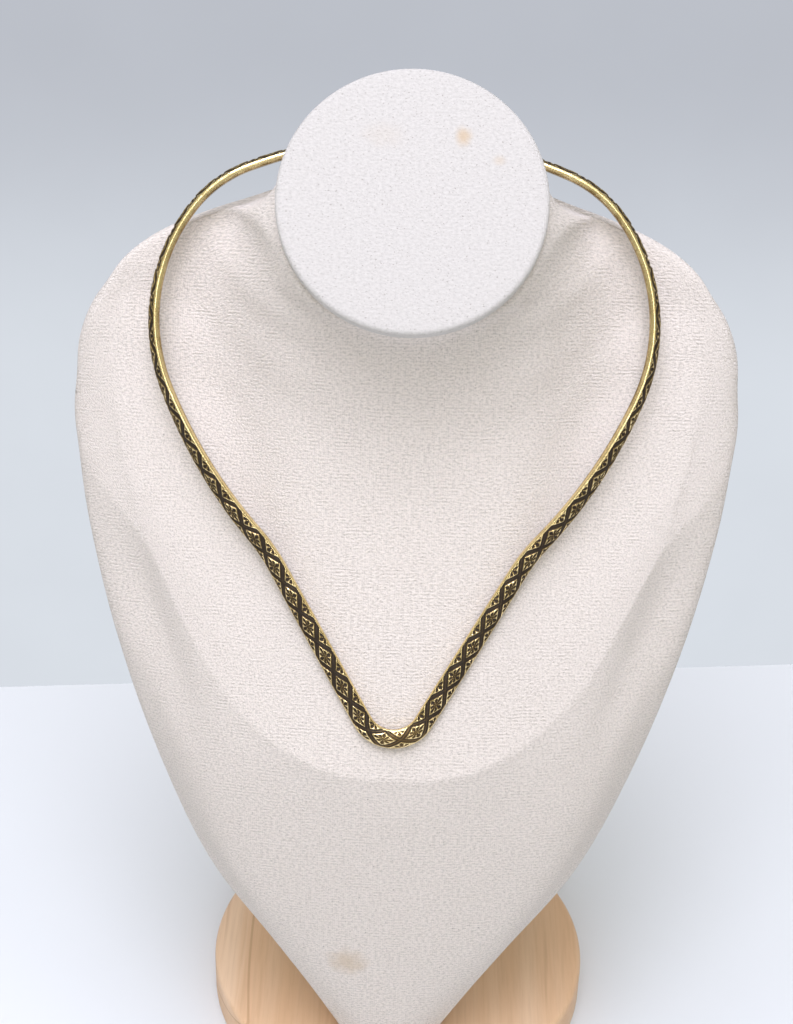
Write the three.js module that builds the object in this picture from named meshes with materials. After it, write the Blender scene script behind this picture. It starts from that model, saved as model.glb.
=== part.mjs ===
import * as THREE from 'three';

// V-shaped brass collar on a linen-covered neck bust with a round wooden base.
// Millimetres. +Z is up, the front faces -Y, and the origin is the middle of the underside.

// Wooden base
const baseDiameter = 123.5;
const baseThickness = 15;
const baseRounding = 2;

// Disc that caps the neck. Its back edge is up, so its face looks forward.
const discDiameter = 71;
const discThickness = 5;
const discRounding = 1.4;
const discTilt = 48.5;
const discHeight = 279;

// Bust
const bustWidth = 185.5;
const bustDepth = 80;
const discOverhang = 2;
const ridgeDrop = 13;
const bustShift = -2.5;
const bustForward = 9;

// Collar: a flat bar, bent in one plane that leans back from the chest to the nape.
const collarWidth = 138.8;
const collarTilt = 64;
const collarShift = -1.2;
const barWidth = 5.2;
const barThickness = 2.8;
const barDome = 0.9;
const barRounding = 0.9;

// Bends of one half of the bar, from the point of the V upwards
const pointRadius = 9.8;
const legLean = 30;
const flareTurn = 12;
const flareRadius = 54;
const lowerTurn = 20;
const lowerRadius = 134;
const sideTurn = 60;
const sideRadius = 50;
const napeTurn = 30;
const napeRadius = 34;

// The bar lies flat at the point of the V and stands on edge at the back.
const pointTwist = 85;
const backTwist = 0;
const twistLength = 190;

// Stamped ornament: a row of lozenges between crossing grooves
const lozengePitch = 9.6;
const grooveDepth = 0.3;
const stationsPerLozenge = 6;
const stepsAcross = 6;

// Clasp: a plain sleeve over the two ends of the bar
const claspLength = 14;
const claspWall = 0.8;
const tongueInset = 0.45;
const endGap = 0.8;

const clearance = 0.3;

// Fineness of the faceted surfaces
const levelsPerRow = 2;
const pointsPerLine = 4;
const stepsPerRounding = 3;
const discSides = 48;
const baseSides = 60;

const radians = THREE.MathUtils.degToRad;
const share = THREE.MathUtils.lerp;

// A closed body from rings of equal length. A body that is closed along its length too, such as a
// sleeve, joins its last ring to its first. An open one gets a fan at each end.
function ringBody(rings, joinsUp = false, slopesUp = () => false) {
  const around = rings[0].length;
  const points = rings.flat();
  const faces = [];
  const bands = joinsUp ? rings.length : rings.length - 1;
  for (let i = 0; i < bands; i += 1) {
    for (let j = 0; j < around; j += 1) {
      const a = i * around + j;
      const b = i * around + ((j + 1) % around);
      const c = ((i + 1) % rings.length) * around + ((j + 1) % around);
      const d = ((i + 1) % rings.length) * around + j;
      if (slopesUp(i, j)) faces.push(a, b, c, a, c, d);
      else faces.push(a, b, d, b, c, d);
    }
  }
  if (!joinsUp) {
    for (const [ring, offset, turned] of [[rings[0], 0, true], [rings.at(-1), bands * around, false]]) {
      const middle = points.length;
      points.push(ring.reduce((sum, p) => sum.add(p), new THREE.Vector3()).divideScalar(around));
      for (let j = 0; j < around; j += 1) {
        const next = offset + ((j + 1) % around);
        faces.push(middle, turned ? next : offset + j, turned ? offset + j : next);
      }
    }
  }
  const geometry = new THREE.BufferGeometry().setFromPoints(points);
  geometry.setIndex(enclosedVolume(points, faces) < 0 ? faces.reverse() : faces);
  return geometry;
}

function enclosedVolume(points, faces) {
  let volume = 0;
  for (let i = 0; i < faces.length; i += 3) {
    const [a, b, c] = [points[faces[i]], points[faces[i + 1]], points[faces[i + 2]]];
    volume += a.dot(new THREE.Vector3().crossVectors(b, c)) / 6;
  }
  return volume;
}

function named(name, geometry, color, roughness, metalness) {
  const mesh = new THREE.Mesh(geometry, new THREE.MeshStandardMaterial({ color, roughness, metalness }));
  mesh.name = name;
  return mesh;
}

// The neck's top: a circle that lies parallel to the disc, just under it.
const discLean = radians(discTilt);
const discNormal = new THREE.Vector3(0, -Math.sin(discLean), Math.cos(discLean));
const discRise = new THREE.Vector3(0, Math.cos(discLean), Math.sin(discLean));
const discCentre = new THREE.Vector3(0, 0, baseThickness + discHeight);
const neckTop = discCentre.clone().addScaledVector(discNormal, -(discThickness + clearance));
const neckRadius = discDiameter / 2 - discOverhang;

// One half of the bar's centre line, drawn in the collar's plane: x across, y up the plane. The leg
// is as long as the collar's width asks, and the back is one arc with its centre on the middle line.
function halfCentreLine() {
  const path = new THREE.Path().moveTo(0, 0);
  let heading = 0;
  const here = new THREE.Vector2();
  const bend = (turn, radius) => {
    const side = Math.sign(turn);
    const middle = new THREE.Vector2(here.x - side * radius * Math.sin(heading),
      here.y + side * radius * Math.cos(heading));
    const from = heading - (side * Math.PI) / 2;
    path.absarc(middle.x, middle.y, radius, from, from + turn, side < 0);
    heading += turn;
    here.set(middle.x + side * radius * Math.sin(heading), middle.y - side * radius * Math.cos(heading));
  };
  const [lean, flare, lower, side, nape] = [legLean, flareTurn, lowerTurn, sideTurn, napeTurn].map(radians);
  const legHeading = Math.PI / 2 - lean;
  const widening = (from, to, radius) => radius * Math.abs(Math.sin(to) - Math.sin(from));
  const bendsWidth = widening(0, legHeading, pointRadius)
    + widening(legHeading, legHeading - flare, flareRadius)
    + widening(legHeading - flare, legHeading - flare + lower, lowerRadius)
    + widening(legHeading - flare + lower, Math.PI / 2, sideRadius);
  const legLength = ((collarWidth - barThickness) / 2 - bendsWidth) / Math.sin(lean);

  bend(legHeading, pointRadius);
  here.add(new THREE.Vector2(Math.cos(heading), Math.sin(heading)).multiplyScalar(legLength));
  path.lineTo(here.x, here.y);
  bend(-flare, flareRadius);
  bend(lower, lowerRadius);
  bend(side, sideRadius);
  bend(nape, napeRadius);
  bend(Math.PI - heading, here.x / Math.sin(heading));
  return path;
}

const centreLine = halfCentreLine();
const halfLength = centreLine.getLength();
const collarRise = centreLine.getPoint(1).y;

// The clasp's bore is a clearance larger than the bar's tongues, which are thinner than the bar.
const boreMargin = clearance - tongueInset;
const sleeveMargin = boreMargin + claspWall;

// The collar's plane. The clasp's inner edge hangs on the back of the neck, at the seat.
const planeLean = radians(collarTilt);
const planeRise = new THREE.Vector3(0, Math.cos(planeLean), Math.sin(planeLean));
const planeNormal = new THREE.Vector3(0, -Math.sin(planeLean), Math.cos(planeLean));
const seat = { back: 0.587, rise: 0.231 };
const collarBack = new THREE.Vector3(collarShift, neckTop.y + seat.back * neckRadius + clearance,
  neckTop.z + seat.rise * neckRadius)
  .addScaledVector(planeRise, barThickness / 2 + sleeveMargin)
  .addScaledVector(planeNormal, -(barWidth - barRounding / 2) / 2 - sleeveMargin);
const collarPoint = collarBack.clone().addScaledVector(planeRise, -collarRise);

// The bust's skin is a net of seven lines that run up each half. Each row of a table is one section
// from the front middle round to the spine, and each entry is [out, depth, rise], where
// out is a share of the half width, the collar's at throat and fold and the bust's further out,
// depth is a share of the bust's depth, behind the front line for the first four lines and behind
// the middle of the base for side, rear and spine,
// rise is a share of the height from the chest's ridge up to the neck's top.
const columns = ['front', 'throat', 'fold', 'corner', 'side', 'rear', 'spine'];
const frontColumns = ['front', 'throat', 'fold', 'corner'];
const chestRows = [
  [[0, 0.01, 0], [0.33, 0.01, 0.02], [0.68, 0.055, 0.115], [0.776, 0.08, 0.375],
    [0.99, 0.05, 0.505], [0.87, 0.26, 0.505], [0, 0.44, 0.47]],
  [[0, 0, 0.09], [0.33, 0.01, 0.11], [0.655, 0.05, 0.21], [0.811, 0.085, 0.447],
    [1, 0.09, 0.565], [0.89, 0.3, 0.57], [0, 0.45, 0.545]],
  [[0, 0, 0.215], [0.345, 0.01, 0.23], [0.66, 0.06, 0.36], [0.851, 0.09, 0.53],
    [0.99, 0.12, 0.63], [0.9, 0.325, 0.635], [0, 0.455, 0.615]],
  [[0, 0, 0.355], [0.375, 0.01, 0.38], [0.7, 0.072, 0.51], [0.869, 0.085, 0.608],
    [0.98, 0.145, 0.69], [0.885, 0.35, 0.695], [0, 0.46, 0.69]],
  [[0, -0.01, 0.48], [0.405, 0, 0.51], [0.765, 0.085, 0.615], [0.877, 0.075, 0.681],
    [0.945, 0.16, 0.748], [0.85, 0.37, 0.748], [0, 0.46, 0.755]],
  [[0, -0.05, 0.57], [0.43, -0.025, 0.61], [0.84, 0.075, 0.71], [0.864, 0.06, 0.741],
    [0.9, 0.18, 0.79], [0.795, 0.375, 0.795], [0, 0.445, 0.82]],
  [[0, -0.1, 0.64], [0.46, -0.08, 0.695], [0.875, 0.08, 0.77], [0.815, 0.055, 0.79],
    [0.85, 0.205, 0.832], [0.73, 0.38, 0.835], [0, 0.42, 0.88]],
  [[0, -0.165, 0.7], [0.48, -0.12, 0.755], [0.865, 0.07, 0.82], [0.76, 0.045, 0.835],
    [0.78, 0.24, 0.864], [0.65, 0.38, 0.875], [0, 0.39, 0.93]],
  [[0, -0.23, 0.755], [0.5, -0.165, 0.805], [0.82, 0.055, 0.87], [0.685, 0.045, 0.88],
    [0.67, 0.275, 0.895], [0.565, 0.38, 0.905], [0, 0.35, 0.96]],
  [[0, -0.305, 0.795], [0.49, -0.21, 0.845], [0.72, 0.035, 0.91], [0.55, 0.05, 0.92],
    [0.515, 0.3, 0.925], [0.455, 0.36, 0.935], [0, 0.325, 1.01]],
];

// Below the ridge, down to the foot: [out, depth] in each column, and one rise for the whole row, a
// share of the height of the ridge's own point in that column.
const panelRows = [
  { rise: 0, row: [[0, 0.055], [0.065, 0.075], [0.115, 0.12], [0.125, 0.18],
    [0.185, -0.3], [0.165, -0.075], [0, 0]] },
  { rise: 0.15, row: [[0, 0.03], [0.115, 0.045], [0.215, 0.085], [0.265, 0.155],
    [0.325, -0.3], [0.285, -0.04], [0, 0.075]] },
  { rise: 0.35, row: [[0, 0.01], [0.215, 0.025], [0.43, 0.075], [0.485, 0.17],
    [0.6, -0.3], [0.49, 0.025], [0, 0.175]] },
  { rise: 0.55, row: [[0, 0], [0.305, 0.02], [0.62, 0.08], [0.665, 0.225],
    [0.77, -0.21], [0.63, 0.1], [0, 0.275]] },
  { rise: 0.75, row: [[0, 0], [0.345, 0.02], [0.72, 0.105], [0.76, 0.305],
    [0.9, -0.1], [0.76, 0.175], [0, 0.36]] },
  { rise: 0.9, row: [[0, 0], [0.345, 0.025], [0.715, 0.135], [0.765, 0.4],
    [0.965, -0.02], [0.835, 0.225], [0, 0.41]] },
];

// Rows of the chest up which the ridge's fold still shows, and over how many of them it fades
const foldRows = 4.5;
const foldFading = 2;

// Just under the cap: [out, back, rise] from the neck's top, in shares of the neck's radius.
const neckRow = [[0, -0.66, -0.79], [0.72, -0.49, -0.63], [1.07, -0.12, -0.28], [1.19, 0.21, -0.13],
  [1.12, 0.46, -0.14], [0.72, 0.56, 0.02], [0, seat.back, seat.rise]];
const neckTopAngles = [-90, -55, -20, 10, 35, 60, 90];

const ridgeHeight = collarPoint.z - baseThickness - ridgeDrop;
const neckTopHeight = neckTop.z - baseThickness;

// The chest lies behind the collar's plane by half the bar, which is tilted a little at the point of
// the V, and a clearance. Below the ridge the front drops straight down.
function frontLine(height) {
  const above = Math.max(height, ridgeHeight) + baseThickness - collarPoint.z;
  const barDepth = (barThickness + barWidth * Math.cos(radians(pointTwist))) / 2;
  const behind = (barDepth + clearance) / Math.sin(planeLean);
  return collarPoint.y + above / Math.tan(planeLean) + behind;
}

function skinPoint(column, out, depth, height, frontHeight) {
  const middle = frontColumns.includes(columns[column]);
  const half = column < 3 ? collarWidth / 2 : bustWidth / 2;
  const y = (middle ? frontLine(frontHeight) : 0) + depth * bustDepth;
  return new THREE.Vector3(out * half, y, baseThickness + clearance + height);
}

function chestHeight(rise) {
  return share(ridgeHeight, neckTopHeight, rise);
}

function bustRows() {
  const panel = panelRows.map(({ rise, row }) => row.map(([out, depth], column) => {
    const height = rise * chestHeight(chestRows[0][column][2]);
    return skinPoint(column, out, depth, height, ridgeHeight);
  }));
  const chest = chestRows.map((row) => row.map(([out, depth, rise], column) => {
    const height = chestHeight(rise);
    return skinPoint(column, out, depth, height, height);
  }));
  const neck = neckRow.map(([out, back, rise]) => new THREE.Vector3(out, back, rise)
    .multiplyScalar(neckRadius).add(neckTop));
  const top = neckTopAngles.map((angle) => new THREE.Vector3(neckRadius * Math.cos(radians(angle)), 0, 0)
    .addScaledVector(discRise, neckRadius * Math.sin(radians(angle))).add(neckTop));
  return [...panel, ...chest, neck, top];
}

function smoothLine(points, steps, closed = false) {
  const spans = closed ? points.length : points.length - 1;
  return new THREE.CatmullRomCurve3(points, closed).getPoints(spans * steps);
}

// The front lines fold sharply at the ridge, and the others run smoothly past it.
function risingLine(points, name) {
  if (!frontColumns.includes(name)) return smoothLine(points, levelsPerRow);
  const ridge = panelRows.length;
  const panel = smoothLine(points.slice(0, ridge + 1), levelsPerRow);
  return [...panel.slice(0, -1), ...smoothLine(points.slice(ridge), levelsPerRow)];
}

// The ridge's fold runs on up the two corner lines and dies out below the shoulders.
function foldSharpness(row) {
  const aboveRidge = row - panelRows.length;
  return THREE.MathUtils.clamp(Math.min(aboveRidge + 1, (foldRows - aboveRidge) / foldFading), 0, 1);
}

// A closed line round one level, from the left corner by way of the front. It is partly smooth all
// round and partly folded at the two corners.
function levelLine(half, sharpness) {
  const other = half.slice(1, -1).reverse().map((p) => new THREE.Vector3(-p.x, p.y, p.z));
  const corner = frontColumns.length - 1;
  const loop = [...other.slice(-corner), ...half, ...other.slice(0, -corner)];
  const front = smoothLine(loop.slice(0, 2 * corner + 1), pointsPerLine);
  const back = smoothLine([...loop.slice(2 * corner), loop[0]], pointsPerLine);
  const folded = [...front.slice(0, -1), ...back.slice(0, -1)];
  const smooth = smoothLine(loop, pointsPerLine, true).slice(0, -1);
  return smooth.map((p, i) => p.lerp(folded[i], sharpness));
}

function bust() {
  const rows = bustRows();
  const rising = columns.map((name, column) => risingLine(rows.map((row) => row[column]), name));
  const rings = rising[0].map((_, level) => levelLine(rising.map((line) => line[level]),
    foldSharpness(level / levelsPerRow)));
  return named('bust', ringBody(rings), 0xe6dfdc, 0.95, 0);
}

// A disc with rounded edges, from its underside to its face, turned about its axis.
function roundedDisc(radius, thickness, rounding, sides) {
  const profile = new THREE.Path().moveTo(0, 0).lineTo(radius - rounding, 0)
    .absarc(radius - rounding, rounding, rounding, -Math.PI / 2, 0, false)
    .absarc(radius - rounding, thickness - rounding, rounding, 0, Math.PI / 2, false)
    .lineTo(0, thickness);
  return new THREE.LatheGeometry(profile.getPoints(stepsPerRounding), sides);
}

function neckDisc() {
  const geometry = roundedDisc(discDiameter / 2, discThickness, discRounding, discSides)
    .rotateX(Math.PI / 2 + discLean);
  const disc = named('neck_disc', geometry, 0xede8e9, 0.95, 0);
  disc.position.copy(discCentre).addScaledVector(discNormal, -discThickness);
  return disc;
}

function base() {
  const geometry = roundedDisc(baseDiameter / 2, baseThickness, baseRounding, baseSides).rotateX(Math.PI / 2);
  return named('base', geometry, 0xdcb285, 0.6, 0);
}

// The bar's frame at a distance from the point of the V, negative on the left. The face looks out of
// the loop at the back and along the plane's normal at the point.
function barFrame(distance) {
  const reach = Math.min(Math.abs(distance) / halfLength, 1);
  const mirror = distance < 0 ? -1 : 1;
  const spot = centreLine.getPoint(reach);
  const heading = centreLine.getTangent(reach);
  const place = collarPoint.clone().addScaledVector(planeRise, spot.y);
  place.x += mirror * spot.x;
  const outward = new THREE.Vector3(mirror * heading.y, 0, 0).addScaledVector(planeRise, -heading.x);
  const eased = THREE.MathUtils.smoothstep(Math.abs(distance), 0, twistLength);
  const twist = radians(share(pointTwist, backTwist, eased));
  const face = outward.clone().multiplyScalar(Math.cos(twist)).addScaledVector(planeNormal, Math.sin(twist));
  const across = outward.clone().multiplyScalar(-Math.sin(twist))
    .addScaledVector(planeNormal, Math.cos(twist));
  return { place, face, across };
}

// The bar's section as [across, out] pairs: the domed face in equal steps, then the plain back with
// rounded corners, each a middle point on its arc. The groove is cut into the dome.
function barSection(width, thickness, cut) {
  const side = width / 2;
  const back = -thickness / 2;
  const corner = barRounding;
  const onArc = corner * (1 - Math.SQRT1_2);
  const face = [];
  for (let step = 0; step <= stepsAcross; step += 1) {
    const q = (2 * step) / stepsAcross - 1;
    face.push([q * side, thickness / 2 - barDome * q * q - cut(Math.abs(q))]);
  }
  const right = [[side, back + corner], [side - onArc, back + onArc], [side - corner, back]];
  const left = right.map(([across, out]) => [-across, out]).reverse();
  return [...face, ...right, ...left];
}

function placed(section, distance) {
  const { place, face, across } = barFrame(distance);
  return section.map(([a, b]) => place.clone().addScaledVector(across, a).addScaledVector(face, b));
}

// Distances along the bar count from the point of the V, and these from the middle of the nape.
function placedAtBack(section, along) {
  return placed(section, along < 0 ? halfLength + along : along - halfLength);
}

const tongueStart = claspLength / 2 + clearance;
const stampedLength = 2 * (halfLength - tongueStart);
const lozenges = Math.round(stampedLength / lozengePitch);
const stations = lozenges * stationsPerLozenge;

function phaseAt(station) {
  return (station % stationsPerLozenge) / stationsPerLozenge;
}

// The grooves cross midway between two lozenges and meet the bar's edges beside each lozenge.
function grooveAt(station) {
  const fromLozenge = 2 * Math.min(phaseAt(station), 1 - phaseAt(station));
  return (q) => {
    const off = Math.abs(fromLozenge + q - 1) * (stepsAcross / 2);
    return grooveDepth * Math.max(1 - off, 0);
  };
}

function collar() {
  const plainTongue = barSection(barWidth - 2 * tongueInset, barThickness - 2 * tongueInset, () => 0);
  const rings = [];
  for (let station = 0; station <= stations; station += 1) {
    const distance = (station / stations - 0.5) * stampedLength;
    rings.push(placed(barSection(barWidth, barThickness, grooveAt(station)), distance));
  }
  const tongue = [0, 0.5, 1].map((part) => share(stampedLength / 2, halfLength - endGap / 2, part));
  rings.push(...tongue.map((distance) => placed(plainTongue, distance)));
  rings.unshift(...tongue.map((distance) => placed(plainTongue, -distance)).reverse());
  const slopesUp = (ring, step) => {
    const beforeCrossing = phaseAt(ring - tongue.length) < 0.5;
    return beforeCrossing === step < stepsAcross / 2;
  };
  return named('collar', ringBody(rings, false, slopesUp), 0xb08d4a, 0.35, 1);
}

// The sleeve follows the bar's arc: an outer skin that runs along it and back inside as a bore.
function clasp() {
  const outer = barSection(barWidth + 2 * sleeveMargin, barThickness + 2 * sleeveMargin, () => 0);
  const inner = barSection(barWidth + 2 * boreMargin, barThickness + 2 * boreMargin, () => 0);
  const places = [-0.5, -0.25, 0, 0.25, 0.5].map((part) => part * claspLength);
  const rings = [...places.map((along) => placedAtBack(outer, along)),
    ...places.reverse().map((along) => placedAtBack(inner, along))];
  return named('clasp', ringBody(rings, true), 0xa8843f, 0.4, 1);
}

// The bust stands forward of the base's middle and a little to its left.
const dressedBust = new THREE.Group();
dressedBust.position.set(bustShift, -bustForward, 0);
dressedBust.add(bust(), neckDisc(), collar(), clasp());

const displayedCollar = new THREE.Group();
displayedCollar.add(base(), dressedBust);

export default displayedCollar;
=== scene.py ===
import math

import bpy
import numpy as np
from mathutils import Matrix, Vector


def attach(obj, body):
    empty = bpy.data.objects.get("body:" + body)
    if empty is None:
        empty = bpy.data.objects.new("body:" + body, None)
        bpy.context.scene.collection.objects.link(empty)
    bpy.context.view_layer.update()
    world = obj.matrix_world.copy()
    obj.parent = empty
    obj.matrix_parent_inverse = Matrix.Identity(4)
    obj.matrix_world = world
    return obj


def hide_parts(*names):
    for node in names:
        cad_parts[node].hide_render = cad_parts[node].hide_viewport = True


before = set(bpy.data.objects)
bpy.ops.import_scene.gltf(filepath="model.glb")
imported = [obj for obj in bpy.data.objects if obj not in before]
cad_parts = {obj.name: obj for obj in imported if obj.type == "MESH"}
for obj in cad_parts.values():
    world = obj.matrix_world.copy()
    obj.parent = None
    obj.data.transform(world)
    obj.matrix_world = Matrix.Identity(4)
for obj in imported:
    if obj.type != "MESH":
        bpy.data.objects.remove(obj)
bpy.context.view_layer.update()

MM = 0.001


# Wooden base: a round of pale, straight-grained softwood, sanded and left unvarnished. It is turned
# from a board whose grain runs from front to back, and its edges are eased with a small rounding.

BASE_RADIUS = 61.75
BASE_THICKNESS = 15.0
BASE_ROUNDING = 2.0
BASE_SIDES = 256
EDGE_STEPS = 8
FLAT_SHARES = np.array([0.02, 0.25, 0.5, 0.75, 0.9])
WOOD_PALE = (0.83, 0.60, 0.42, 1)
WOOD_WARM = (0.74, 0.475, 0.285, 1)
WOOD_STREAK = (0.46, 0.26, 0.135, 1)


def turned(profile, sides):
    """Rings of a turned body: each [radius, height] of the profile is carried once round Z."""
    turn = np.arange(sides) / sides * 2 * math.pi
    radius, height = np.asarray(profile, float).T[:, :, None]
    flat = np.ones_like(turn)
    return np.stack([radius * np.cos(turn), radius * np.sin(turn), height * flat], -1)


def disc_profile(radius, thickness, rounding):
    """[radius, height] from near the middle of the underside, round both eased edges, to near the
    middle of the top."""
    bend = np.linspace(0, math.pi / 2, EDGE_STEPS + 1)
    inner = radius - rounding
    low = np.stack([inner + rounding * np.sin(bend), rounding - rounding * np.cos(bend)], -1)
    high = np.stack([inner + rounding * np.cos(bend),
                     thickness - rounding + rounding * np.sin(bend)], -1)
    spread = FLAT_SHARES * inner
    under = np.stack([spread, np.zeros_like(spread)], -1)
    over = np.stack([spread[::-1], np.full_like(spread, thickness)], -1)
    return np.vstack([under, low, high, over])


def skinned(name, rings, joined=False, laid=None, darkening_and_shade=None):
    """A closed skin over rings of equal length, in mm: point i of each ring meets point i of the next.
    Joined rings meet end to end. Otherwise a fan to the ring's mean point closes each end. The laid
    array holds the cloth's own coordinates, one column more than the ring, so that its seam is clean.
    The hollow array holds how dark each point is: real blackening and painted shade together."""
    count, around = rings.shape[:2]
    points = rings.reshape(-1, 3)
    ring = np.arange(count if joined else count - 1)[:, None]
    step = np.arange(around)[None, :]
    after, above = (step + 1) % around, (ring + 1) % count
    quads = np.stack(np.broadcast_arrays(ring * around + step, ring * around + after,
                                         above * around + after, above * around + step), -1).reshape(-1, 4)
    corners = quads.ravel()
    starts = np.arange(len(quads)) * 4
    if not joined:
        last = (count - 1) * around
        points = np.vstack([points, rings[0].mean(0), rings[-1].mean(0)])
        turn, turned_on = step[0], after[0]
        low = np.stack([np.full(around, len(points) - 2), turned_on, turn], -1)
        high = np.stack([np.full(around, len(points) - 1), last + turn, last + turned_on], -1)
        fans = np.vstack([low, high])
        starts = np.concatenate([starts, len(corners) + np.arange(len(fans)) * 3])
        corners = np.concatenate([corners, fans.ravel()])
    inside = rings.mean((0, 1))
    first, second, third = points[quads[:, 0]], points[quads[:, 1]], points[quads[:, 2]]
    enclosed = np.einsum("ij,ij->i", first - inside, np.cross(second - inside, third - inside)).sum()
    mesh = bpy.data.meshes.new(name)
    mesh.vertices.add(len(points))
    mesh.vertices.foreach_set("co", (points * MM).ravel())
    mesh.loops.add(len(corners))
    mesh.loops.foreach_set("vertex_index", corners)
    mesh.polygons.add(len(starts))
    mesh.polygons.foreach_set("loop_start", starts)
    mesh.polygons.foreach_set("use_smooth", np.ones(len(starts), bool))
    mesh.update(calc_edges=True)
    if laid is not None:
        u_next = np.stack([laid[ring, step], laid[ring, step + 1],
                           laid[ring + 1, step + 1], laid[ring + 1, step]], -2).reshape(-1, 2)
        ends = [np.stack([np.broadcast_to(row[:-1].mean(0), (around, 2)), *pair], 1).reshape(-1, 2)
                for row, pair in ((laid[0], (laid[0, 1:], laid[0, :-1])),
                                  (laid[-1], (laid[-1, :-1], laid[-1, 1:])))]
        cloth = mesh.uv_layers.new(name="weave")
        cloth.data.foreach_set("uv", (np.vstack([u_next, *ends]) * MM).astype(np.float32).ravel())
    if darkening_and_shade is not None:
        black = np.concatenate([darkening_and_shade.ravel(), np.zeros(len(points) - darkening_and_shade.size)])
        stored = mesh.attributes.new("darkening_and_shade", "FLOAT", "POINT")
        stored.data.foreach_set("value", black.astype(np.float32))
    if enclosed < 0:
        mesh.flip_normals()
    mesh.validate()
    piece = bpy.data.objects.new(name, mesh)
    bpy.context.scene.collection.objects.link(piece)
    return piece


def finish(name):
    """A new material, a function that sets its shader's inputs, and one that adds a node: of a kind,
    with inputs by name or number, each a plain value or a socket to wire in."""
    material = bpy.data.materials.new(name)
    material.use_nodes = True
    tree = material.node_tree

    def wire(socket, value):
        if isinstance(value, bpy.types.NodeSocket):
            tree.links.new(value, socket)
        else:
            socket.default_value = value

    def add(kind, inputs=None, **settings):
        made = tree.nodes.new("ShaderNode" + kind)
        for key, value in settings.items():
            setattr(made, key, value)
        for key, value in (inputs or {}).items():
            wire(made.inputs[key], value)
        return made

    shader = tree.nodes["Principled BSDF"]

    def into(socket, value):
        wire(shader.inputs[socket], value)

    return material, into, add


def mixed(add, amount, first, second, blend="MIX"):
    """The first colour with some of the second: amount 0 is all first, 1 all second."""
    return add("Mix", {0: amount, 6: first, 7: second}, data_type="RGBA", blend_type=blend).outputs[2]


def ramped(add, value, low, high):
    """0 below low, 1 above high, eased between."""
    return add("MapRange", {"Value": value, "From Min": low, "From Max": high},
               interpolation_type="SMOOTHSTEP").outputs["Result"]


def calculated(add, operation, *values):
    return add("Math", dict(enumerate(values)), operation=operation).outputs[0]


def noise(add, place, scale, detail, roughness=0.5):
    return add("TexNoise", {"Vector": place, "Scale": scale, "Detail": detail,
                            "Roughness": roughness}).outputs["Fac"]


def tinted(add, colour, field, low, high, amount, other, blend="MIX"):
    """The colour with some of the other by the field: none at low, the whole amount at high."""
    share = calculated(add, "MULTIPLY", ramped(add, field, low, high), amount)
    return mixed(add, share, colour, other, blend)


def pale_wood():
    """Straight growth rings, fine fibres and short streaks, all drawn out along the board, and a few thin
    dark lines at the left that curve: the contour of a broad noise."""
    material, into, add = finish("pale_wood")
    place = add("TexCoord").outputs["Object"]
    board = add("Mapping", {"Vector": place, "Rotation": (0, 0, 0.06), "Scale": (1, 0.04, 1)}).outputs[0]
    rings = add("TexWave", {"Vector": board, "Scale": 22.0, "Distortion": 3.0, "Detail": 2.0,
                            "Detail Scale": 20.0, "Detail Roughness": 0.55},
                wave_type="BANDS", bands_direction="X").outputs["Fac"]
    fibres = noise(add, board, 1100.0, 3.0, 0.6)
    broad = noise(add, board, 60.0, 2.0)
    streaks = noise(add, board, 300.0, 1.5)
    curved = add("Mapping", {"Vector": place, "Scale": (1, 0.3, 1)}).outputs[0]
    contour = calculated(add, "SUBTRACT", noise(add, curved, 34.0, 0.0), 0.5)
    contour = calculated(add, "ABSOLUTE", contour)
    left = ramped(add, add("SeparateXYZ", {0: place}).outputs["X"], -0.022, -0.034)
    lines = calculated(add, "MULTIPLY", ramped(add, contour, 0.012, 0.004), left)
    colour = mixed(add, ramped(add, broad, 0.3, 0.72), WOOD_PALE, WOOD_WARM)
    colour = tinted(add, colour, rings, 0.45, 1.0, 0.35, WOOD_WARM)
    colour = tinted(add, colour, streaks, 0.64, 0.78, 0.4, WOOD_STREAK)
    colour = tinted(add, colour, fibres, 0.35, 0.8, 0.2, WOOD_STREAK)
    colour = mixed(add, calculated(add, "MULTIPLY", lines, 0.5), colour, WOOD_STREAK)
    into("Base Color", colour)
    into("Roughness", calculated(add, "MULTIPLY_ADD", fibres, 0.2, 0.42))
    height = calculated(add, "MULTIPLY_ADD", rings, 0.4, fibres)
    bump = add("Bump", {"Strength": 0.5, "Distance": 0.00012, "Height": height})
    into("Normal", bump.outputs[0])
    into("Specular IOR Level", 0.35)
    return material


base_profile = disc_profile(BASE_RADIUS, BASE_THICKNESS, BASE_ROUNDING)
base_wood = skinned("base_wood", turned(base_profile, BASE_SIDES))
base_wood.data.materials.append(pale_wood())
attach(base_wood, "root")
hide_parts("base")


# Neck bust: a hard moulded form with off-white ribbed linen glued tightly over it. The cloth is
# stretched smooth over the chest, folded round the ridge and pasted down under the foot and the cap.

COLLAR_WIDTH = 138.8
COLLAR_LEAN = math.radians(64)
BAR_WIDTH = 5.2
BAR_THICKNESS = 2.8
POINT_TWIST = math.radians(85)
GAP = 0.3
BUST_WIDTH = 185.5
BUST_DEPTH = 80.0
BUST_PLACE = np.array([-2.5, -9.0, 0])
RIDGE_DROP = 13.0
DISC_RADIUS = 35.5
DISC_THICKNESS = 5.0
DISC_LEAN = math.radians(48.5)
DISC_HEIGHT = 279.0
DISC_OVERHANG = 2.0
FOLD_ROWS = 4.5
FOLD_FADING = 2.0
COLUMNS, FRONT_LINES = 7, 4
LEVELS_PER_ROW = 12
POINTS_PER_LINE = 18
CHEST_SLOPE = 0.49
LINEN = (0.78, 0.71, 0.667, 1)
STAIN = (0.52, 0.38, 0.24, 1)
SPECK = (0.20, 0.17, 0.15, 1)

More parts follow.
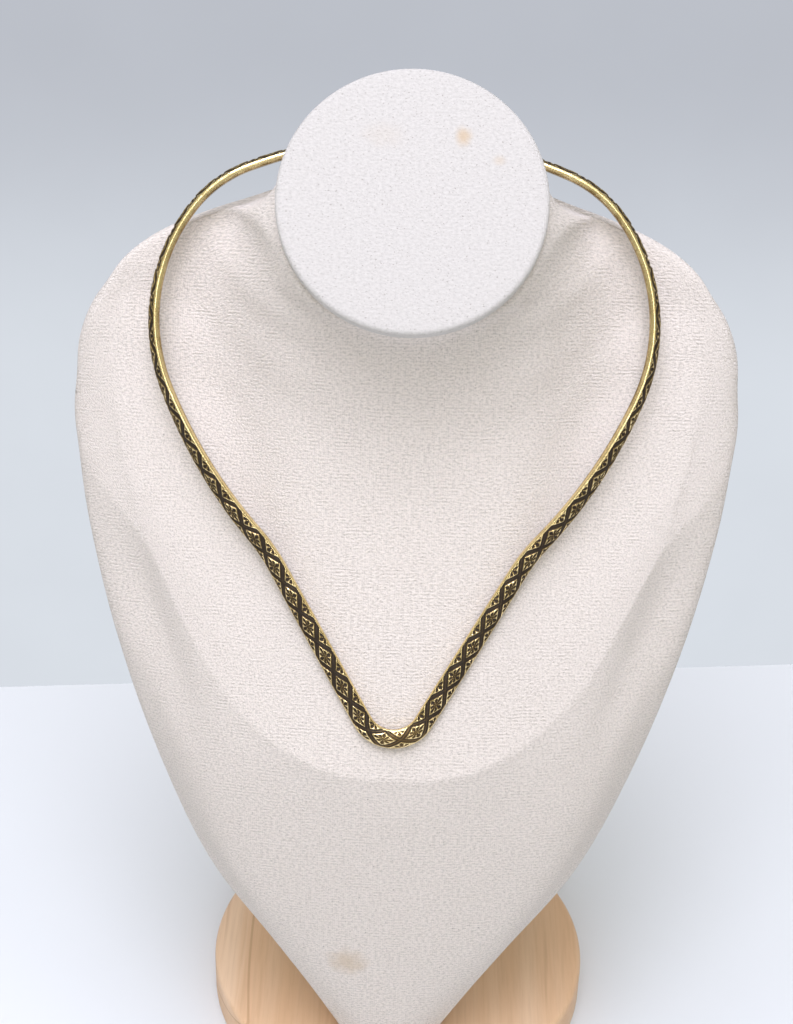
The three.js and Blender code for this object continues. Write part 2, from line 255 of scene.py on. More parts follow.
disc_normal = np.array([0, -math.sin(DISC_LEAN), math.cos(DISC_LEAN)])
disc_rise = np.array([0, math.cos(DISC_LEAN), math.sin(DISC_LEAN)])
disc_centre = np.array([0, 0, BASE_THICKNESS + DISC_HEIGHT])
neck_top = disc_centre - disc_normal * (DISC_THICKNESS + GAP)
neck_radius = DISC_RADIUS - DISC_OVERHANG

# The bar's bends, from the point of the V upwards: [turn in degrees, radius]. The straight leg comes
# after the first bend, and the last bend closes the loop at the nape.
BENDS = [(60, 9.8), (-12, 54), (20, 134), (60, 50), (30, 34)]
LINE_STEP = 0.01
SLEEVE_WALL = 0.8
TONGUE_INSET = 0.45
BAR_ROUNDING = 0.9


def bend_table():
    """Distance along the bar and heading at each change of bend. A bend's width is its radius times the
    change of the heading's sine, and the leg takes up the width that the bends leave."""
    turns, radii = np.radians([turn for turn, _ in BENDS]), np.array([radius for _, radius in BENDS])
    headings = np.concatenate([[0], np.cumsum(turns)])
    widths = radii * np.abs(np.diff(np.sin(np.minimum(headings, math.pi / 2))))
    leg = ((COLLAR_WIDTH - BAR_THICKNESS) / 2 - widths.sum()) / math.sin(math.pi / 2 - headings[1])
    lengths = np.abs(turns) * radii
    lengths = np.insert(lengths, 1, leg)
    headings = np.insert(headings, 1, headings[1])
    distances = np.concatenate([[0], np.cumsum(lengths)])
    return distances, headings


def centre_line():
    """The bar's half centre line, as distance, x across and y up its plane. The heading changes evenly
    along each bend, and x and y are the running sums of its cosine and sine."""
    distances, headings = bend_table()

    def walked(distances, headings):
        along = np.arange(0, distances[-1], LINE_STEP)
        heading = np.interp(along, distances, headings)
        middle = (heading[1:] + heading[:-1]) / 2
        x = np.concatenate([[0], np.cumsum(np.cos(middle)) * LINE_STEP])
        y = np.concatenate([[0], np.cumsum(np.sin(middle)) * LINE_STEP])
        return along, heading, x, y

    reach = walked(distances, headings)[2][-1]
    nape_radius = reach / math.sin(headings[-1])
    distances = np.append(distances, distances[-1] + (math.pi - headings[-1]) * nape_radius)
    return walked(distances, np.append(headings, math.pi))


line_along, line_heading, line_x, line_y = centre_line()
half_length = line_along[-1]
plane_rise = np.array([0, math.cos(COLLAR_LEAN), math.sin(COLLAR_LEAN)])
plane_normal = np.array([0, -math.sin(COLLAR_LEAN), math.cos(COLLAR_LEAN)])
bore_margin = GAP - TONGUE_INSET
sleeve_margin = bore_margin + SLEEVE_WALL

# The clasp's seat on the nape, in neck radii behind and above the middle of the neck's top.
SEAT_BACK, SEAT_RISE = 0.587, 0.231
COLLAR_SHIFT = -1.2
seat = neck_top + np.array([0, SEAT_BACK, SEAT_RISE]) * neck_radius
collar_back = (seat + [COLLAR_SHIFT, GAP, 0] + plane_rise * (BAR_THICKNESS / 2 + sleeve_margin)
               - plane_normal * ((BAR_WIDTH - BAR_ROUNDING / 2) / 2 + sleeve_margin))
collar_point = collar_back - plane_rise * line_y[-1]

# Each row is one section from the front middle round to the spine: [out, depth, rise] as shares of the
# half width, the bust's depth, and the height from the ridge to the neck's top.
CHEST = np.array([
    [[0, 0.01, 0], [0.33, 0.01, 0.02], [0.68, 0.055, 0.115], [0.776, 0.08, 0.375],
     [0.99, 0.05, 0.505], [0.87, 0.26, 0.505], [0, 0.44, 0.47]],
    [[0, 0, 0.09], [0.33, 0.01, 0.11], [0.655, 0.05, 0.21], [0.811, 0.085, 0.447],
     [1, 0.09, 0.565], [0.89, 0.3, 0.57], [0, 0.45, 0.545]],
    [[0, 0, 0.215], [0.345, 0.01, 0.23], [0.66, 0.06, 0.36], [0.851, 0.09, 0.53],
     [0.99, 0.12, 0.63], [0.9, 0.325, 0.635], [0, 0.455, 0.615]],
    [[0, 0, 0.355], [0.375, 0.01, 0.38], [0.7, 0.072, 0.51], [0.869, 0.085, 0.608],
     [0.98, 0.145, 0.69], [0.885, 0.35, 0.695], [0, 0.46, 0.69]],
    [[0, -0.01, 0.48], [0.405, 0, 0.51], [0.765, 0.085, 0.615], [0.877, 0.075, 0.681],
     [0.945, 0.16, 0.748], [0.85, 0.37, 0.748], [0, 0.46, 0.755]],
    [[0, -0.05, 0.57], [0.43, -0.025, 0.61], [0.84, 0.075, 0.71], [0.864, 0.06, 0.741],
     [0.9, 0.18, 0.79], [0.795, 0.375, 0.795], [0, 0.445, 0.82]],
    [[0, -0.1, 0.64], [0.46, -0.08, 0.695], [0.875, 0.08, 0.77], [0.815, 0.055, 0.79],
     [0.85, 0.205, 0.832], [0.73, 0.38, 0.835], [0, 0.42, 0.88]],
    [[0, -0.165, 0.7], [0.48, -0.12, 0.755], [0.865, 0.07, 0.82], [0.76, 0.045, 0.835],
     [0.78, 0.24, 0.864], [0.65, 0.38, 0.875], [0, 0.39, 0.93]],
    [[0, -0.23, 0.755], [0.5, -0.165, 0.805], [0.82, 0.055, 0.87], [0.685, 0.045, 0.88],
     [0.67, 0.275, 0.895], [0.565, 0.38, 0.905], [0, 0.35, 0.96]],
    [[0, -0.305, 0.795], [0.49, -0.21, 0.845], [0.72, 0.035, 0.91], [0.55, 0.05, 0.92],
     [0.515, 0.3, 0.925], [0.455, 0.36, 0.935], [0, 0.325, 1.01]],
])

# Below the ridge, down to the foot: a share of the ridge's height, and [out, depth] in each column.
PANEL_RISE = np.array([0, 0.15, 0.35, 0.55, 0.75, 0.9])
PANEL = np.array([
    [[0, 0.055], [0.065, 0.075], [0.115, 0.12], [0.125, 0.18], [0.185, -0.3], [0.165, -0.075], [0, 0]],
    [[0, 0.03], [0.115, 0.045], [0.215, 0.085], [0.265, 0.155], [0.325, -0.3], [0.285, -0.04], [0, 0.075]],
    [[0, 0.01], [0.215, 0.025], [0.43, 0.075], [0.485, 0.17], [0.6, -0.3], [0.49, 0.025], [0, 0.175]],
    [[0, 0], [0.305, 0.02], [0.62, 0.08], [0.665, 0.225], [0.77, -0.21], [0.63, 0.1], [0, 0.275]],
    [[0, 0], [0.345, 0.02], [0.72, 0.105], [0.76, 0.305], [0.9, -0.1], [0.76, 0.175], [0, 0.36]],
    [[0, 0], [0.345, 0.025], [0.715, 0.135], [0.765, 0.4], [0.965, -0.02], [0.835, 0.225], [0, 0.41]],
])

# The neck's waist, [x, y, z] in neck radii from the middle of its top, and the angles at which the same
# columns meet the round top.
NECK = np.array([[0, -0.66, -0.79], [0.72, -0.49, -0.63], [1.07, -0.12, -0.28], [1.19, 0.21, -0.13],
                 [1.12, 0.46, -0.14], [0.72, 0.56, 0.02], [0, SEAT_BACK, SEAT_RISE]])
NECK_TOP_ANGLES = np.radians([-90, -55, -20, 10, 35, 60, 90])


def smooth_lines(points, per_span, closed):
    """Centripetal Catmull-Rom lines through points[n, k]: k lines at once. Each span is a cubic whose end
    slopes come from the neighbouring points, weighted by the fourth root of the squared distances."""
    if closed:
        padded = np.concatenate([points[-1:], points, points[:2]])
    else:
        padded = np.concatenate([2 * points[:1] - points[1:2], points, 2 * points[-1:] - points[-2:-1]])
    a, b, c, d = (padded[i:len(padded) - 3 + i, None] for i in range(4))
    before, within, beyond = (np.maximum(((q - p) ** 2).sum(-1, keepdims=True), 1e-6) ** 0.25
                              for p, q in ((a, b), (b, c), (c, d)))
    leave = ((b - a) / before - (c - a) / (before + within) + (c - b) / within) * within
    arrive = ((c - b) / within - (d - b) / (within + beyond) + (d - c) / beyond) * within
    w = (np.arange(per_span) / per_span).reshape(1, -1, 1, 1)
    spans = (b + leave * w + (3 * (c - b) - 2 * leave - arrive) * w ** 2
             + (2 * (b - c) + leave + arrive) * w ** 3)
    lines = spans.reshape(-1, *points.shape[1:])
    return lines if closed else np.concatenate([lines, points[-1:]])


def bust_rings():
    """The net of the bust: lines up through the tables' rows, then a closed line round each level. The
    front lines break at the ridge. Each level is a mix of a line smooth all round and one that breaks
    at both corners. The second is all of it at and just above the ridge, and none of it from one row
    below the ridge down, or from FOLD_ROWS above it up."""
    ridge = collar_point[2] - BASE_THICKNESS - RIDGE_DROP
    top = neck_top[2] - BASE_THICKNESS
    column = np.arange(COLUMNS)
    half = np.where(column < FRONT_LINES - 1, COLLAR_WIDTH / 2, BUST_WIDTH / 2)
    in_front = column < FRONT_LINES

    def skin(out, depth, height, front_height):
        above = np.maximum(front_height, ridge) + BASE_THICKNESS - collar_point[2]
        bar_depth = (BAR_THICKNESS + BAR_WIDTH * math.cos(POINT_TWIST)) / 2
        front = collar_point[1] + above / math.tan(COLLAR_LEAN) + (bar_depth + GAP) / math.sin(COLLAR_LEAN)
        y = np.where(in_front, front, 0) + depth * BUST_DEPTH
        return np.stack([out * half, y, BASE_THICKNESS + GAP + height], -1)

    chest_height = ridge + (top - ridge) * CHEST[..., 2]
    chest = skin(CHEST[..., 0], CHEST[..., 1], chest_height, chest_height)
    panel_height = PANEL_RISE[:, None] * chest_height[0]
    panel = skin(PANEL[..., 0], PANEL[..., 1], panel_height, np.full_like(panel_height, ridge))
    neck = NECK * neck_radius + neck_top
    rim = (neck_radius * (np.cos(NECK_TOP_ANGLES)[:, None] * [1, 0, 0]
                          + np.sin(NECK_TOP_ANGLES)[:, None] * disc_rise) + neck_top)
    rows = np.concatenate([panel, chest, neck[None], rim[None]])
    levels = smooth_lines(rows, LEVELS_PER_ROW, closed=False)
    lower = smooth_lines(rows[:len(PANEL) + 1], LEVELS_PER_ROW, closed=False)
    upper = smooth_lines(rows[len(PANEL):], LEVELS_PER_ROW, closed=False)
    levels[:, :FRONT_LINES] = np.concatenate([lower[:-1], upper])[:, :FRONT_LINES]
    mirrored = levels * [-1, 1, 1]
    loops = np.concatenate([mirrored[:, FRONT_LINES - 1:0:-1], levels,
                            mirrored[:, -2:FRONT_LINES - 1:-1]], 1).transpose(1, 0, 2)
    corner, spine = 2 * (FRONT_LINES - 1), FRONT_LINES - 1 + COLUMNS - 1
    smooth = smooth_lines(loops, POINTS_PER_LINE, closed=True)
    front = smooth_lines(loops[:corner + 1], POINTS_PER_LINE, closed=False)
    back = smooth_lines(np.concatenate([loops[corner:], loops[:1]]), POINTS_PER_LINE, closed=False)
    folded = np.concatenate([front[:-1], back[:-1]])
    above_ridge = np.arange(len(levels)) / LEVELS_PER_ROW - len(PANEL)
    sharpness = np.clip(np.minimum(above_ridge + 1, (FOLD_ROWS - above_ridge) / FOLD_FADING), 0, 1)
    rings = smooth + (folded - smooth) * sharpness[None, :, None]
    return np.roll(rings, -spine * POINTS_PER_LINE, 0).transpose(1, 0, 2) + BUST_PLACE


def laid_round(rings):
    """The cloth's own coordinates in mm: the distance round each level, from the front middle, and the
    rise, which follows the chest's lean so that the ribs stay even."""
    around = np.concatenate([rings, rings[:, :1]], 1)
    steps = np.linalg.norm(np.diff(around, axis=1), axis=-1)
    run = np.concatenate([np.zeros((len(rings), 1)), np.cumsum(steps, 1)], 1)
    run -= run[:, -1:] / 2
    return np.stack([run, around[..., 2] + CHEST_SLOPE * around[..., 1]], -1)


def vectors(add, operation, first, second):
    return add("VectorMath", {0: first, 1: second}, operation=operation).outputs[0]


def ribbed_linen(name, tint, ribbing, grain, stains):
    """Off-white linen. Ribs 1.09 mm apart run across the cloth, with a slubby finer thread over them,
    painted shade in the low parts of the weave, sparse dark specks, a slow change of tone, and stains as
    [centre, radii, amount, colour], in mm."""
    material, into, add = finish(name)
    cloth = add("UVMap", uv_map="weave").outputs[0]
    place = add("TexCoord").outputs["Object"]
    slow = add("TexNoise", {"Vector": cloth, "Scale": 60.0, "Detail": 2.0})
    waver = vectors(add, "MULTIPLY", slow.outputs["Color"], (0.0012, 0.0012, 0.0))
    warped = vectors(add, "ADD", cloth, waver)
    ribs = add("TexWave", {"Vector": warped, "Scale": 288.0, "Distortion": 2.2, "Detail": 2.0,
                           "Detail Scale": 4.0, "Detail Roughness": 0.6},
               wave_type="BANDS", bands_direction="Y").outputs["Fac"]
    threads = add("TexWave", {"Vector": warped, "Scale": 480.0, "Distortion": 3.0, "Detail": 1.0,
                              "Detail Scale": 3.0}, wave_type="BANDS", bands_direction="X").outputs["Fac"]
    long_slubs = add("Mapping", {"Vector": cloth, "Scale": (1000, 1600, 1)}).outputs[0]
    slubs = noise(add, long_slubs, 1.0, 2.0, 0.65)
    fleck_field = add("Mapping", {"Vector": cloth, "Scale": (1500, 1900, 1)}).outputs[0]
    flecks = noise(add, fleck_field, 1.0, 1.0)
    patch = noise(add, cloth, 140.0, 2.0)
    ribs, threads, slubs = (calculated(add, "SUBTRACT", field, 0.5) for field in (ribs, threads, slubs))
    rib_height = calculated(add, "MULTIPLY", ribs, ramped(add, patch, 0.38, 0.72))
    height = calculated(add, "MULTIPLY", rib_height, ribbing)
    height = calculated(add, "MULTIPLY_ADD", threads, 0.3 * ribbing, height)
    height = calculated(add, "MULTIPLY_ADD", slubs, 2.2 * grain, height)
    # Painted shade: the low parts of the weave get a darker colour.
    darkening_and_shade = tuple(0.62 * c for c in tint[:3]) + (1,)
    colour = tinted(add, tint, height, 0.35, -0.45, 0.7, darkening_and_shade)
    colour = tinted(add, colour, flecks, 0.65, 0.75, 0.6, SPECK)
    tone = noise(add, place, 22.0, 2.0)
    duller = tuple(0.93 * c for c in tint[:3]) + (1,)
    colour = tinted(add, colour, tone, 0.35, 0.75, 0.5, duller, "DARKEN")
    blot = noise(add, place, 260.0, 3.0)
    for centre, radii, amount, stain in stains:
        away = vectors(add, "SUBTRACT", place, [c * MM for c in centre])
        away = vectors(add, "MULTIPLY", away, [1 / (r * MM) for r in radii])
        far = add("VectorMath", {0: away}, operation="LENGTH").outputs["Value"]
        far = calculated(add, "MULTIPLY_ADD", blot, 0.9, far)
        colour = tinted(add, colour, far, 1.45, 0.55, amount, stain)
    into("Base Color", colour)
    into("Roughness", 0.93)
    into("Specular IOR Level", 0.2)
    into("Sheen Weight", 0.15)
    into("Sheen Roughness", 0.6)
    bump = add("Bump", {"Strength": 0.8, "Distance": 0.00025, "Height": height})
    into("Normal", bump.outputs[0])
    return material


rings = bust_rings()
bust_linen = skinned("bust_linen", rings, laid=laid_round(rings))
bust_linen.data.materials.append(ribbed_linen("bust_linen", LINEN, 0.43, 1.0, [
    ((-15.2, -56.6, 65.2), (8, 14, 8), 0.5, STAIN),
    ((-94.4, -1.0, 229.3), (1.2, 2, 1.0), 0.8, SPECK),
    ((-93.5, -3.0, 246.0), (1.0, 2, 0.8), 0.7, SPECK),
]))
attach(bust_linen, "root")
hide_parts("bust")


# Neck cap: a round of board, covered with the same linen, fixed aslant over the open neck. The cloth
# is drawn over its soft edge and pasted down behind. Its linen is painted darker than the bust's, as
# painted shade against the strong light on its upturned face. It has a small rusty spot and two fainter
# ones.

DISC_ROUNDING = 1.4
CAP_SIDES = 256
# The bust's linen made darker: painted shade that tones down the overhead light on the cap's upturned
# face.
CAP_LINEN_SHADED = (0.615, 0.587, 0.573, 1)

cap_profile = disc_profile(DISC_RADIUS, DISC_THICKNESS, DISC_ROUNDING)


def cap_rings():
    """The disc's rings, laid on the slanted plane: across is X, and up the face is the disc's rise."""
    flat = turned(cap_profile, CAP_SIDES)
    low = disc_centre - disc_normal * DISC_THICKNESS
    return (low + flat[..., :1] * [1, 0, 0] + flat[..., 1:2] * disc_rise + flat[..., 2:] * disc_normal
            + BUST_PLACE)


def laid_over():
    """The cloth's coordinates: as far from the face's middle as the cloth runs over the profile."""
    profile = cap_profile[::-1]
    steps = np.linalg.norm(np.diff(profile, axis=0), axis=-1)
    run = profile[0, 0] + np.concatenate([[0], np.cumsum(steps)])
    turn = np.arange(CAP_SIDES + 1) / CAP_SIDES * 2 * math.pi
    return run[::-1, None, None] * np.stack([np.cos(turn), np.sin(turn)], -1)


def on_cap(across, up):
    return disc_centre + disc_rise * up + [across, 0, 0] + BUST_PLACE


cap_linen = skinned("cap_linen", cap_rings(), laid=laid_over())
cap_linen.data.materials.append(ribbed_linen("cap_linen", CAP_LINEN_SHADED, 0.06, 0.4, [
    (on_cap(12.8, 17.2), (3.0, 4.0, 4.0), 0.7, STAIN),
    (on_cap(22.3, 11.2), (2.5, 2, 2), 0.3, STAIN),
    (on_cap(-8, 17), (7, 5, 5), 0.1, STAIN),
]))
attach(cap_linen, "root")
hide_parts("neck_disc")


# Collar: one flat brass bar with a domed face, stamped with a row of lozenges, each with eight leaves,
# between crossing bands. It is bent into a V and twisted so that it lies flat at the point and stands on
# edge behind the neck. The hollows are blackened and the high parts worn bright. Painted shade, a dark
# reflection, darkens the sides and the back, and more lightly the face.

BAR_DOME = 0.9
TWIST_LENGTH = 190.0
CLASP_LENGTH = 14.0
END_GAP = 0.8
LOZENGE_PITCH = 9.6
PATTERN_SHIFT = 2.25
BAND_WIDTH = 1.25
BAND_DEPTH = 0.34
LEAF_DEPTH = 0.22
STAMP_EASE = 0.12
FRAME_WIDTH = 0.2
LEAF_SPREAD, LEAF_ROUNDING = 0.3, 0.16
WEAR, WEAR_MIDDLE, WEAR_LENGTH = 0.42, 2, 8.0
POINT_FADE, POINT_FADE_LENGTH = 0.6, 12.0
SIDE_SWELL = 0.14
BROW_EASING, BROW_POWER = 0.12, 24
FACE_CROWDING = 1.06
SIDE_SHARES = np.array([0.2, 0.4, 0.6, 0.8])
STATIONS = 1560
FACE_STEPS = 44
CORNER_POINTS = 6
TONGUE_RINGS = 4
SIDE_SHADE, FACE_SHADE = 0.36, 0.16
BRASS = (1.0, 0.80, 0.43, 1)
BRASS_DULL = (0.56, 0.41, 0.16, 1)
BROWN = (0.20, 0.125, 0.045, 1)
PATINA_AND_SHADE = (0.022, 0.012, 0.005, 1)


def eased(value, low, high):
    """0 below low, 1 above high, smooth between."""
    t = np.clip((value - low) / (high - low), 0, 1)
    return t * t * (3 - 2 * t)


def stamped(distance, across):
    """Depth of the stamping and how black it is. Two slanting coordinates cut the face into square cells,
    one to a lozenge. A band runs along the cell's border, a thin raised frame is left inside it, and eight
    leaves run out from the cell's middle: wedges that widen outwards and round off at the frame."""
    along = (distance - PATTERN_SHIFT) / LOZENGE_PITCH + 0.5
    aside = across / BAR_WIDTH
    u, v = along + aside, along - aside
    u, v = u - np.round(u), v - np.round(v)
    cell = 1 / math.hypot(1 / LOZENGE_PITCH, 1 / BAR_WIDTH)
    to_border = (0.5 - np.maximum(np.abs(u), np.abs(v))) * cell
    band = 1 - eased(to_border, BAND_WIDTH / 2 - STAMP_EASE, BAND_WIDTH / 2 + STAMP_EASE)
    centre_line_mark = 1 - eased(to_border, 0.04, 0.2)
    inner = 0.5 - (BAND_WIDTH / 2 + FRAME_WIDTH) / cell
    reach = np.maximum(np.abs(u), np.abs(v)) / inner
    angle = np.arctan2(v, u)
    off = angle - np.round(angle / (math.pi / 4)) * (math.pi / 4)
    radius = np.hypot(u, v) * cell
    aside_leaf = radius * np.abs(np.sin(off))
    width = LEAF_SPREAD * radius * np.sqrt(np.clip((1 - reach) / LEAF_ROUNDING, 0, 1))
    leaf = np.where(width > 0.02, 1 - eased(aside_leaf, width - 0.06, width + 0.05), 0)
    rim = 1 - eased(np.abs(across), BAR_WIDTH / 2 - 0.28, BAR_WIDTH / 2 - 0.1)
    worn = 1 - WEAR * np.exp(-((distance - WEAR_MIDDLE) / WEAR_LENGTH) ** 2)
    depth = (BAND_DEPTH * band * (1 - 0.35 * centre_line_mark) + LEAF_DEPTH * leaf) * rim * worn
    black = np.maximum(band * (1 - 0.3 * centre_line_mark), leaf * 0.92) * rim * (0.25 + 0.75 * worn)
    return depth, black


def bar_frame(distance):
    """Place, face and across directions at signed distances from the point of the V. The face turns from
    the plane's normal at the point to straight outwards at the back, by a smooth step."""
    reach = np.minimum(np.abs(distance), half_length)
    mirror = np.where(distance < 0, -1.0, 1.0)
    heading = np.interp(reach, line_along, line_heading)
    x, y = np.interp(reach, line_along, line_x), np.interp(reach, line_along, line_y)
    place = collar_point + BUST_PLACE + y[:, None] * plane_rise + (mirror * x)[:, None] * [1, 0, 0]
    outward = (mirror * np.sin(heading))[:, None] * [1, 0, 0] - np.cos(heading)[:, None] * plane_rise
    twist = (POINT_TWIST * (1 - eased(np.abs(distance), 0, TWIST_LENGTH)))[:, None]
    face = outward * np.cos(twist) + plane_normal * np.sin(twist)
    across = -outward * np.sin(twist) + plane_normal * np.cos(twist)
    return place, face, across


def bar_section(width, thickness, steps):
    """The bar's outline as [across, out], and how many of its points are the face: a parabola whose edges
    are eased, sides that swell a little, and the plain back with two quarter-round corners."""
    side, back = width / 2, -thickness / 2
    q = np.linspace(-1, 1, steps + 1)
    q = np.sign(q) * (1 - (1 - np.abs(q)) ** FACE_CROWDING)
    face = np.stack([q * side, (thickness / 2 - BAR_DOME * q ** 2
                                - BROW_EASING * np.abs(q) ** BROW_POWER)], -1)
    down = SIDE_SHARES
    brow, brink = face[-1, 1], back + BAR_ROUNDING
    edge = np.stack([side + SIDE_SWELL * 4 * down * (1 - down), brow + (brink - brow) * down], -1)
    bend = np.linspace(0, math.pi / 2, CORNER_POINTS)
    corner = np.stack([side - BAR_ROUNDING * (1 - np.cos(bend)),
                       back + BAR_ROUNDING * (1 - np.sin(bend))], -1)
    right = np.vstack([edge, corner, [[side / 3, back]]])
    return np.vstack([face, right, right[::-1] * [-1, 1]]), steps + 1


def placed(section, distance):
    """Sections[n, k] of [across, out] set into the bar's frames."""
    place, face, across = bar_frame(distance)
    return place[:, None] + section[..., :1] * across[:, None] + section[..., 1:] * face[:, None]


def collar_rings():
    """The bar's rings from end to end, a plain tongue at each, and how dark each point is: the blackened
    stamped hollows, painted shade on the sides and the back, and lighter painted shade on the face, less
    of it at the point."""
    tongue_start = CLASP_LENGTH / 2 + GAP
    stamped_half = half_length - tongue_start
    distance = np.linspace(-stamped_half, stamped_half, STATIONS + 1)
    outline, face = bar_section(BAR_WIDTH, BAR_THICKNESS, FACE_STEPS)
    sections = np.repeat(outline[None], len(distance), 0)
    depth, black = stamped(distance[:, None], outline[None, :face, 0])
    sections[:, :face, 1] -= depth
    # Painted shade: a dark reflection painted on the sides and the back, on one side only towards the
    # back.
    behind = eased(-outline[:, 1], 0.2, 1.2)
    side_shade = np.where(outline[:, 0] > 0, SIDE_SHADE * behind, SIDE_SHADE)
    darkening_and_shade = np.repeat(side_shade[None], len(distance), 0)
    # Painted shade on the face: lighter at the point, and none towards one edge.
    face_shade = FACE_SHADE * (1 - POINT_FADE * np.exp(-(distance / POINT_FADE_LENGTH) ** 2))[:, None]
    inward = 1 - eased(outline[None, :face, 0], 1.8, BAR_WIDTH / 2)
    darkening_and_shade[:, :face] = np.maximum(black, face_shade * inward)
    tongue, _ = bar_section(BAR_WIDTH - 2 * TONGUE_INSET, BAR_THICKNESS - 2 * TONGUE_INSET, FACE_STEPS)
    tongue_at = np.linspace(stamped_half, half_length - END_GAP / 2, TONGUE_RINGS)
    tongues = np.repeat(tongue[None], TONGUE_RINGS, 0)
    plain = np.zeros(tongues.shape[:2])
    rings = np.concatenate([placed(tongues, -tongue_at[::-1]), placed(sections, distance),
                            placed(tongues, tongue_at)])
    return rings, np.concatenate([plain, darkening_and_shade, plain])


def aged_brass(name, blackened):
    """Worn brass with soft dents, a fine grain and cloudy dull patches. A blackened one turns brown and
    then black by its hollow attribute, which holds the real blackening of the hollows and painted shade."""
    material, into, add = finish(name)
    place = add("TexCoord").outputs["Object"]
    cloud = noise(add, place, 160.0, 4.0, 0.6)
    fine = noise(add, place, 2600.0, 2.0)
    colour = tinted(add, BRASS, cloud, 0.42, 0.78, 0.6, BRASS_DULL)
    rough = calculated(add, "MULTIPLY_ADD", fine, 0.12, calculated(add, "MULTIPLY_ADD", cloud, 0.16, 0.12))
    if blackened:
        # The attribute holds the real blackening of the stamped hollows and the painted shade on the
        # sides, back and face.
        black = add("Attribute", attribute_name="darkening_and_shade").outputs["Fac"]
        edge = calculated(add, "MULTIPLY_ADD", calculated(add, "SUBTRACT", fine, 0.5), 0.35, black)
        edge = calculated(add, "MULTIPLY_ADD", calculated(add, "SUBTRACT", cloud, 0.5), 0.4, edge)
        colour = mixed(add, ramped(add, edge, 0.08, 0.5), colour, BROWN)
        dark = ramped(add, edge, 0.4, 0.85)
        colour = mixed(add, dark, colour, PATINA_AND_SHADE)
        into("Metallic", calculated(add, "MULTIPLY_ADD", dark, -0.7, 1.0))
        rough = calculated(add, "MULTIPLY_ADD", dark, 0.3, rough)
    else:
        into("Metallic", 1.0)
    into("Base Color", colour)
    into("Roughness", rough)
    dents = noise(add, place, 420.0, 1.0)
    bump = add("Bump", {"Strength": 0.4, "Distance": 0.00008,
                        "Height": calculated(add, "MULTIPLY_ADD", dents, 4.0, fine)})
    into("Normal", bump.outputs[0])
    return material


rings, darkening_and_shade = collar_rings()
collar_brass = skinned("collar_brass", rings, darkening_and_shade=darkening_and_shade)
collar_brass.data.materials.append(aged_brass("collar_brass", blackened=True))
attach(collar_brass, "root")
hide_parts("collar")


# Clasp: a plain brass sleeve over the two ends of the bar, at the nape. It is bent to the bar's curve
# and its mouths are eased.

CLASP_STEPS = 24
CLASP_FACE_STEPS = 16
SKIN_SETBACK, BORE_SETBACK = 0.3, 0.15
LIP_SETBACKS = np.array([0.1, 0.0, 0.0])
LIP_MARGINS = np.array([-0.09, -0.3, -0.6])


def clasp_rings():
    """A loop of rings: the outer skin along the sleeve, round its mouth, and back through the bore. Each
    ring is the bar's outline grown by a margin."""
    half = CLASP_LENGTH / 2
    run = np.linspace(-half + SKIN_SETBACK, half - SKIN_SETBACK, CLASP_STEPS + 1)
    bore = np.linspace(half - BORE_SETBACK, -half + BORE_SETBACK, CLASP_STEPS + 1)
    lip_margin = LIP_MARGINS + sleeve_margin
    along = np.concatenate([run, half - LIP_SETBACKS, bore, -half + LIP_SETBACKS[::-1]])
    margin = np.concatenate([np.full(len(run), sleeve_margin), lip_margin,
                             np.full(len(bore), bore_margin), lip_margin[::-1]])
    sections = np.stack([bar_section(BAR_WIDTH + 2 * m, BAR_THICKNESS + 2 * m, CLASP_FACE_STEPS)[0]
                         for m in margin])
    distance = np.where(along < 0, half_length + along, along - half_length)
    return placed(sections, distance)


clasp_brass = skinned("clasp_brass", clasp_rings(), joined=True)
clasp_brass.data.materials.append(aged_brass("clasp_brass", blackened=False))
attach(clasp_brass, "root")
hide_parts("clasp")


# Studio: a pale matt table whose far edge runs a little aslant behind the stand, a pale grey-blue wall
# two metres behind it that glows with painted light, brighter low down, two large soft lamps overhead,
# a small weak one in front, and a camera that looks down at the chest.

TABLE = (0.755, 0.775, 0.81, 1)
TABLE_CORNERS = [(-3, -3, 0), (3, -3, 0), (3, 0.442, 0), (-3, -0.114, 0)]
WALL_LOW, WALL_HIGH = (0.70, 0.742, 0.804, 1), (0.506, 0.531, 0.589, 1)
WALL_CORNERS = [(-4, 2, -3), (4, 2, -3), (4, 2, 2), (-4, 2, 2)]
WALL_FADES = (-0.95, -0.42)
MOTTLE = (0.94, 0.94, 0.94, 1)
WORLD_COLOUR, WORLD_STRENGTH = (0.93, 0.92, 0.723, 1), 0.43
FILM_HEIGHT, LENS_LENGTH = 36.0, 70.31
CAMERA_PLACE = (-0.0025, -0.48095, 0.51433)
CAMERA_PITCH, CAMERA_ROLL = math.radians(33.907), math.radians(1.535)
CAMERA_YAW = math.atan(8.2 / 2000)


def plain_sheet(name, corners, colour, high_colour, lit):
    """A flat four-sided sheet with a faint mottle, whose colour changes slowly from low to high. A lit one
    shows its colour by its own light."""
    mesh = bpy.data.meshes.new(name)
    mesh.from_pydata(corners, [], [(0, 1, 2, 3)])
    sheet = bpy.data.objects.new(name, mesh)
    bpy.context.scene.collection.objects.link(sheet)
    material, into, add = finish(name)
    place = add("TexCoord").outputs["Object"]
    height = add("SeparateXYZ", {0: place}).outputs["Z"]
    tone = mixed(add, ramped(add, height, *WALL_FADES), colour, high_colour)
    mottled = mixed(add, noise(add, place, 6.0, 3.0), tone, MOTTLE, "MULTIPLY")
    into("Base Color", (0, 0, 0, 1) if lit else mottled)
    if lit:
        into("Emission Color", mottled)
        into("Emission Strength", 1.0)
    into("Roughness", 0.7)
    mesh.materials.append(material)


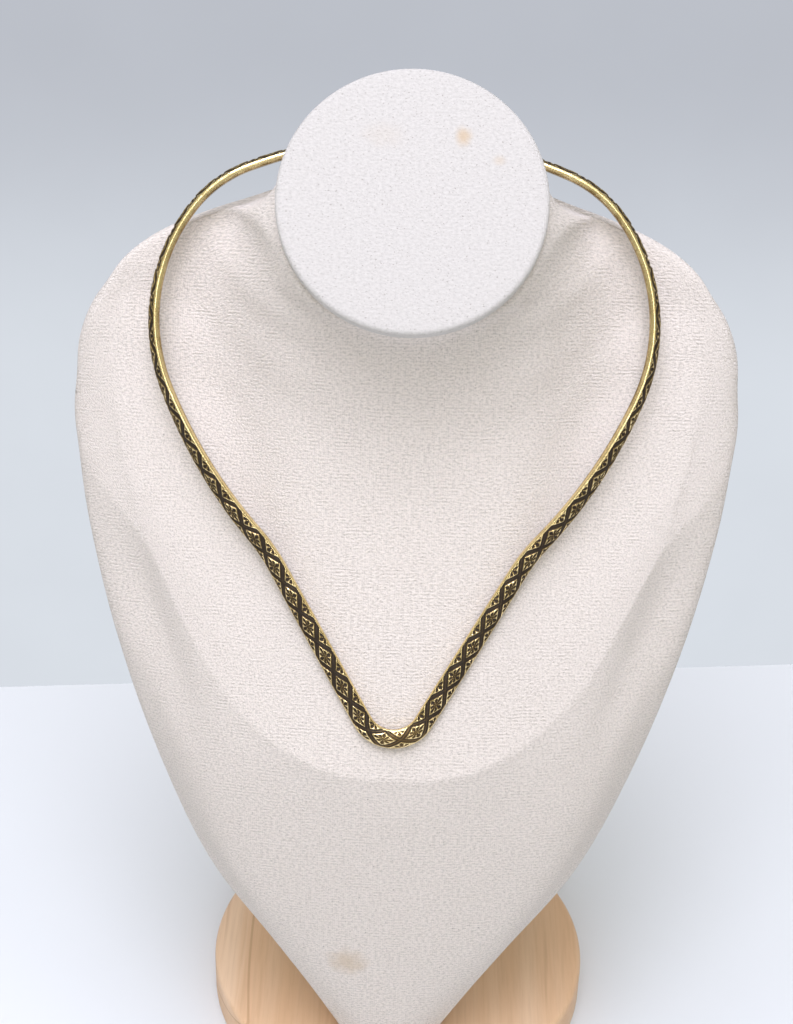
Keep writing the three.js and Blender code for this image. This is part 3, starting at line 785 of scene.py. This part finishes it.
plain_sheet("table", TABLE_CORNERS, TABLE, TABLE, lit=False)
# The wall glows: painted light, brighter low down and darker higher up.
plain_sheet("wall", WALL_CORNERS, WALL_LOW, WALL_HIGH, lit=True)


def soft_lamp(name, place, aim, size, power, colour):
    lamp = bpy.data.lights.new(name, "AREA")
    lamp.shape, lamp.size, lamp.energy, lamp.color = "DISK", size, power, colour
    holder = bpy.data.objects.new(name, lamp)
    bpy.context.scene.collection.objects.link(holder)
    holder.location = place
    direction = Vector(aim) - Vector(place)
    holder.rotation_euler = direction.to_track_quat("-Z", "Y").to_euler()


soft_lamp("overhead_lamp", (-0.10, -0.26, 1.5), (0, 0, 0.15), 1.0, 14.0, (0.837, 0.852, 1.0))
soft_lamp("high_front_lamp", (-0.08, -0.80, 1.5), (0, 0, 0.15), 1.0, 14.0, (0.886, 0.898, 1.0))
soft_lamp("front_lamp", (0.1, -1.6, 0.9), (0, 0, 0.2), 0.4, 3.0, (1.0, 0.98, 0.94))

world = bpy.data.worlds.new("studio_light")
world.use_nodes = True
world.node_tree.nodes["Background"].inputs["Color"].default_value = WORLD_COLOUR
world.node_tree.nodes["Background"].inputs["Strength"].default_value = WORLD_STRENGTH
bpy.context.scene.world = world
bpy.context.scene.view_settings.view_transform = "Standard"

lens = bpy.data.cameras.new("camera")
lens.sensor_fit = "VERTICAL"
lens.sensor_height = FILM_HEIGHT
lens.lens = LENS_LENGTH
camera = bpy.data.objects.new("camera", lens)
bpy.context.scene.collection.objects.link(camera)
ahead = math.cos(CAMERA_PITCH)
forward = np.array([-math.sin(CAMERA_YAW) * ahead, math.cos(CAMERA_YAW) * ahead, -math.sin(CAMERA_PITCH)])
level = np.cross(forward, [0, 0, 1])
level /= np.linalg.norm(level)
right = level * math.cos(CAMERA_ROLL) + np.cross(level, forward) * math.sin(CAMERA_ROLL)
upward = np.cross(right, forward)
turned_camera = np.eye(4)
turned_camera[:3, :3] = np.stack([right, upward, -forward], 1)
turned_camera[:3, 3] = CAMERA_PLACE
camera.matrix_world = Matrix(turned_camera.tolist())
bpy.context.scene.camera = camera
